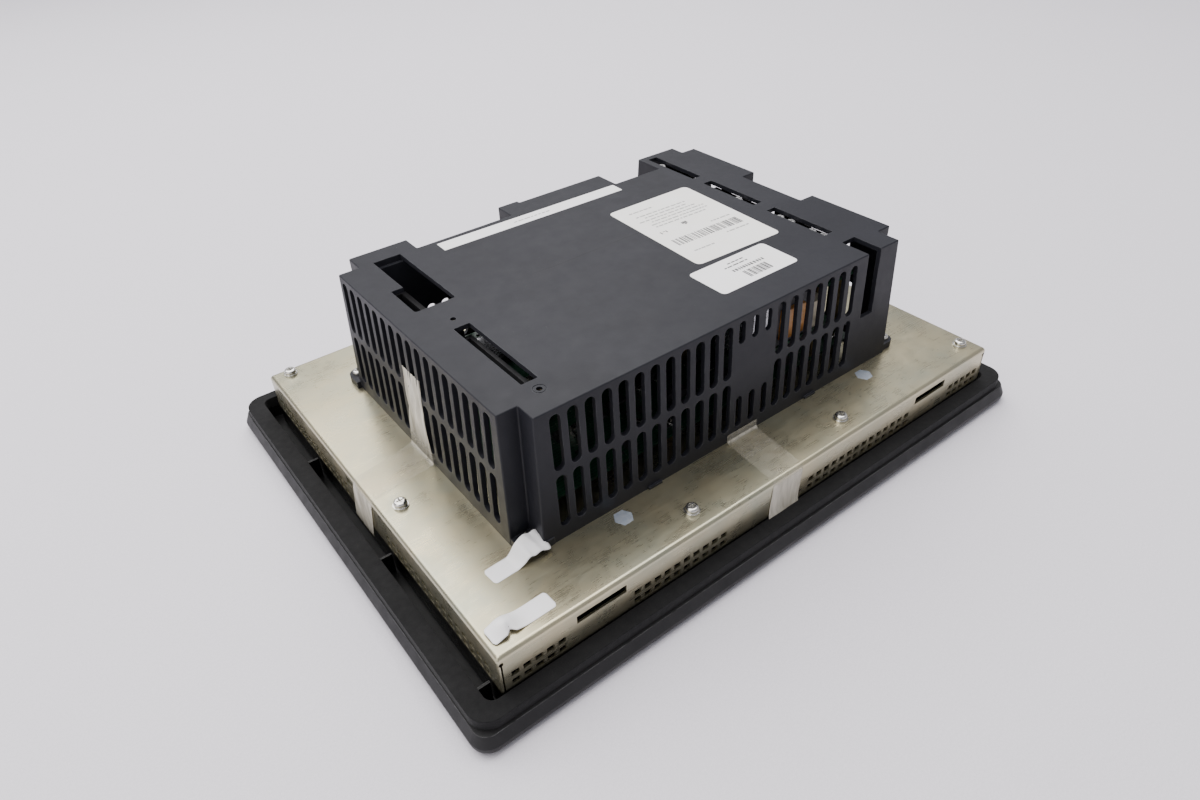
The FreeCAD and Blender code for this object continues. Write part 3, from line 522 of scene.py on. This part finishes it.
def labels():
    """The rating label, the inventory label and the narrow strip on the back of the cover."""
    dice = random.Random(7)
    top, film = COVER_TOP, 0.12
    flat_sheet("rating_label", [(18, -37), (76.5, -39), (79.5, 40.5), (21, 41)], 3.6, top, film,
               LABEL_PAPER)
    flat_sheet("inventory_label", [(6.8, -66.8), (59.8, -66.8), (59.8, -41), (6.8, -41)], 3.0, top,
               film, STICKER_PAPER)
    flat_sheet("title_strip", [(-72.2, 64.2), (48.4, 62.3), (48.6, 71.8), (-72.0, 73.7)], 0.5, top,
               film, STICKER_PAPER)
    z = top + film + 0.03
    rating = Label((76.5, -39), (18, -37), (79.5, 40.5), z)
    faint = Label((76.5, -39), (18, -37), (79.5, 40.5), z)
    rating.bars(6, 22.5, 46, 7.4, dice)
    for u, v, w, h in ((30.5, 41.0, 1.2, 2.6), (31.9, 40.0, 1.0, 3.6), (33.1, 41.2, 1.0, 2.2),
                       (46.5, 39.0, 0.7, 2.0), (47.6, 40.2, 1.6, 0.6), (50.2, 38.6, 0.7, 2.4)):
        rating.mark(u, v, w, h)
    rating.printed("rating_print", DARK_INK)
    for v, start, length in ((12.5, 36, 14), (18.0, 6, 16), (33.5, 6, 14), (47.0, 12, 36),
                             (50.2, 8, 42), (53.4, 8, 38), (56.6, 12, 40), (59.8, 16, 30),
                             (63.0, 14, 36), (69.0, 34, 16)):
        faint.row(start, v, length, 1.1, dice)
    faint.printed("rating_small_print", GREY_INK)
    tag = Label((59.8, -66.8), (6.8, -66.8), (59.8, -41), z)
    tag.bars(14.5, 4.0, 15.5, 6.6, dice)
    tag.row(12.0, 12.6, 22, 2.2, dice, wordy=False)
    tag.row(19.0, 17.6, 16, 0.9, dice)
    tag.row(19.5, 20.4, 11, 0.9, dice)
    tag.printed("inventory_print", DARK_INK)
    title = Label((48.4, 62.3), (-72.2, 64.2), (48.6, 71.8), z)
    title.row(50, 4.2, 24, 1.0, dice)
    title.printed("title_print", GREY_INK)


def sticker_outline(u, v, length, width):
    """Squeezes the ends of a rectangle so that its corners are round."""
    radius = 1.6
    a, b = u * length, (v - 0.5) * width
    near_end = min(a, length - a)
    if near_end < radius:
        reach = width / 2 - radius + math.sqrt(radius ** 2 - (radius - near_end) ** 2)
        b *= reach / (width / 2)
    return a, b


def tamper_stickers():
    """Two blank seals: one climbs onto the cover's lug and curls, one is torn over a screw."""
    def climbing(u, v):
        a, b = sticker_outline(u, v, 30.0, 9.6)
        heading = math.radians(4.0 - 4.0 * u)
        x = -147.4 + a * math.cos(heading) - b * math.sin(heading)
        y = -87.2 + a * math.sin(heading) + b * math.cos(heading)
        climb = max(0.0, min(1.0, (a - 11.5) / 8.5))
        climb = climb * climb * (3 - 2 * climb)
        droop = 2.2 * max(0.0, (a - 25.0) / 5.0) ** 2
        wave = 0.45 * math.sin(a * 1.1 + v * 3)
        return at(x, y, 0.1 + climb * (5.6 + 4.4 * (v - 0.5) + wave) - droop)

    def torn(u, v):
        a, b = sticker_outline(u, v, 31.0, 9.4)
        bump = math.exp(-((a - 7.5) ** 2 + (b - 0.6) ** 2) / 16.0)
        notch = max(0.0, 1 - abs(a - 8.6) / 2.2) * 2.0 if v < 0.5 else 0.0
        b += notch * (0.5 - v) * 2
        turn = math.radians(1.5)
        x, y = -164.0 + a * math.cos(turn) - b * math.sin(turn), -113.6 + a * math.sin(turn) \
            + b * math.cos(turn)
        return at(x, y, 0.1 + 4.6 * bump ** 0.55)

    strip("seal_sticker_lug", climbing, 40, 14, STICKER_PAPER)
    strip("seal_sticker_screw", torn, 44, 16, STICKER_PAPER)


def along_path(path, t):
    """The point and unit normal at share t of a polyline in a plane, in millimetres."""
    lengths = [(b - a).length for a, b in zip(path, path[1:])]
    left = t * sum(lengths)
    for a, b, length in zip(path, path[1:], lengths):
        if left <= length or b is path[-1]:
            heading = (b - a).normalized()
            return a + heading * left, Vector((-heading.y, heading.x))
        left -= length


def smoothed(path, rounds=3):
    """Cuts the corners of a polyline a few times."""
    for _ in range(rounds):
        cut = [path[0]]
        for a, b in zip(path, path[1:]):
            cut += [a.lerp(b, 0.25), a.lerp(b, 0.75)]
        path = cut + [path[-1]]
    return path


def course(t, stops):
    """Straight-line interpolation between (t, value) stops."""
    for (t0, a), (t1, b) in zip(stops, stops[1:]):
        if t <= t1:
            return a + (b - a) * (t - t0) / (t1 - t0)
    return stops[-1][1]


def tapes():
    """Two strips of frosted tape that hold the cover's vents and the plate's edge."""
    edge_x, edge_y, width = PLATE_EDGE_X, PLATE_EDGE_Y, 21.0
    side = smoothed([Vector(p) for p in ((-127.9, 49), (-129.2, 28), (-130.4, 5), (-130.7, 1.2),
                                         (-131.6, 0.3), (-140, 0.25), (-160, 0.25),
                                         (-edge_x + 1.5, 0.25), (-edge_x - 0.3, -1.5),
                                         (-edge_x - 0.35, -12), (-edge_x - 0.5, -30))], 3)

    def on_side(u, v):
        p, _ = along_path(side, v)
        loose = max(0.0, 1 - v / 0.42)
        ripple = 0.9 * math.sin(u * 9 + v * 15) * math.sin(v * 7.5) * loose
        ripple += 0.45 * math.sin(u * 23 - v * 9) * loose
        centre = course(v, ((0, 4.5), (0.42, 4.0), (0.75, -1.5), (1, 7.5)))
        spread = course(v, ((0, 17.0), (0.2, 16.0), (0.42, 24.0), (0.6, width), (1, width)))
        return at(p.x - abs(ripple), centre + (u - 0.5) * spread, p.y)

    near = smoothed([Vector(p) for p in ((-89.0, 5.0), (-89.3, 1.6), (-90.2, 0.4), (-95, 0.25),
                                         (-110, 0.25), (-edge_y + 1.5, 0.25), (-edge_y - 0.3, -1.5),
                                         (-edge_y - 0.35, -12), (-edge_y - 0.7, -21),
                                         (-edge_y - 3.4, -25.8))], 3)

    def on_near(u, v):
        p, _ = along_path(near, v)
        x = 3.0 - 6.0 * v + (u - 0.5) * width
        return at(x, p.x, p.y + 0.25 * math.sin(u * 8 + v * 5) * max(0.0, v - 0.8) / 0.2)

    strip("tape_side", on_side, 26, 110, TAPE, 0.05)
    strip("tape_near", on_near, 22, 90, TAPE, 0.05)


def small_parts():
    """Chips, resistors and capacitors on the main board, as the vents show them."""
    dice = random.Random(21)
    low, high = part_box("main_board")
    taken = [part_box(n) for n in ("processor_heatsink", "memory_chips", "battery_holder", "card_socket",
                                 "serial_port", "network_port", "module_riser")]
    mesh = bmesh.new()
    for _ in range(420):
        size = Vector(dice.choice(((2, 1.2, 0.8), (3.2, 1.6, 1.0), (1.6, 0.8, 0.6), (6, 5, 1.7),
                                   (4, 4, 5.2)))) * MM
        if dice.random() < 0.5:
            size = Vector((size.y, size.x, size.z))
        x = dice.uniform(low.x + 0.004, high.x - 0.004)
        y = dice.uniform(low.y + 0.004, high.y - 0.004)
        near_opening = x < low.x + 0.035
        if near_opening or any(a.x - 0.004 < x < b.x + 0.004 and a.y - 0.004 < y < b.y + 0.004
                               for a, b in taken):
            continue
        middle = Matrix.Translation((x, y, high.z + size.z / 2))
        bmesh.ops.create_cube(mesh, size=1, matrix=middle @ Matrix.Diagonal((*size, 1)))
    data = bpy.data.meshes.new("board_small_parts")
    mesh.to_mesh(data)
    mesh.free()
    made = piece("board_small_parts", data, FINISHES["chip_black"], smooth=False)
    rounding = made.modifiers.new("rounding", "BEVEL")
    rounding.width = 0.0001
    data.materials.append(FINISHES["bracket_steel"])
    for number, face in enumerate(data.polygons):
        face.material_index = (number // 6) % 6 == 0


# ---- floor, light and camera ----
def floor():
    size = 6.0
    mesh = mesh_from("floor", [(-size, -size, 0), (size, -size, 0), (size, size, 0), (-size, size, 0)],
                     [(0, 1, 2, 3)])
    made = bpy.data.objects.new("floor", mesh)
    bpy.context.scene.collection.objects.link(made)
    mesh.materials.append(floor_sheet())


def softbox(name, place, aim, size, power, colour=(1, 1, 1)):
    lamp = bpy.data.lights.new(name, "AREA")
    lamp.shape = "RECTANGLE"
    lamp.size, lamp.size_y = size
    lamp.energy = power
    lamp.color = colour
    made = bpy.data.objects.new(name, lamp)
    made.location = place
    made.rotation_euler = (Vector(aim) - Vector(place)).to_track_quat("-Z", "Y").to_euler()
    bpy.context.scene.collection.objects.link(made)


def lighting():
    world = bpy.data.worlds.new("studio")
    world.use_nodes = True
    background = world.node_tree.nodes["Background"]
    background.inputs["Color"].default_value = (0.93, 0.93, 1.0, 1)
    background.inputs["Strength"].default_value = 0.5
    bpy.context.scene.world = world
    softbox("overhead", (0.0, 0.6, 1.7), (0, 0, 0), (2.7, 2.4), 88, (1.0, 0.98, 0.97))
    softbox("left", (-1.6, -0.3, 0.9), (0, 0, 0.03), (1.2, 1.0), 7, (1.0, 0.95, 0.88))


def camera():
    """A wide lens close above the near left corner, rolled by a couple of degrees."""
    lens = bpy.data.cameras.new("camera")
    lens.sensor_width = SENSOR_WIDTH
    lens.lens = FOCAL_LENGTH
    made = bpy.data.objects.new("camera", lens)
    forward = Vector(CAMERA_FORWARD).normalized()
    right = Vector(CAMERA_DOWN).cross(forward).normalized()
    up = right.cross(forward).normalized()
    turn = Matrix((right, up, -forward)).transposed()
    made.matrix_world = Matrix.Translation(at(*CAMERA_PLACE)) @ turn.to_4x4()
    lens.clip_start = 0.01
    bpy.context.scene.collection.objects.link(made)
    bpy.context.scene.camera = made


camera()
paint_frame()
labels()
tamper_stickers()
tapes()
small_parts()
floor()
lighting()
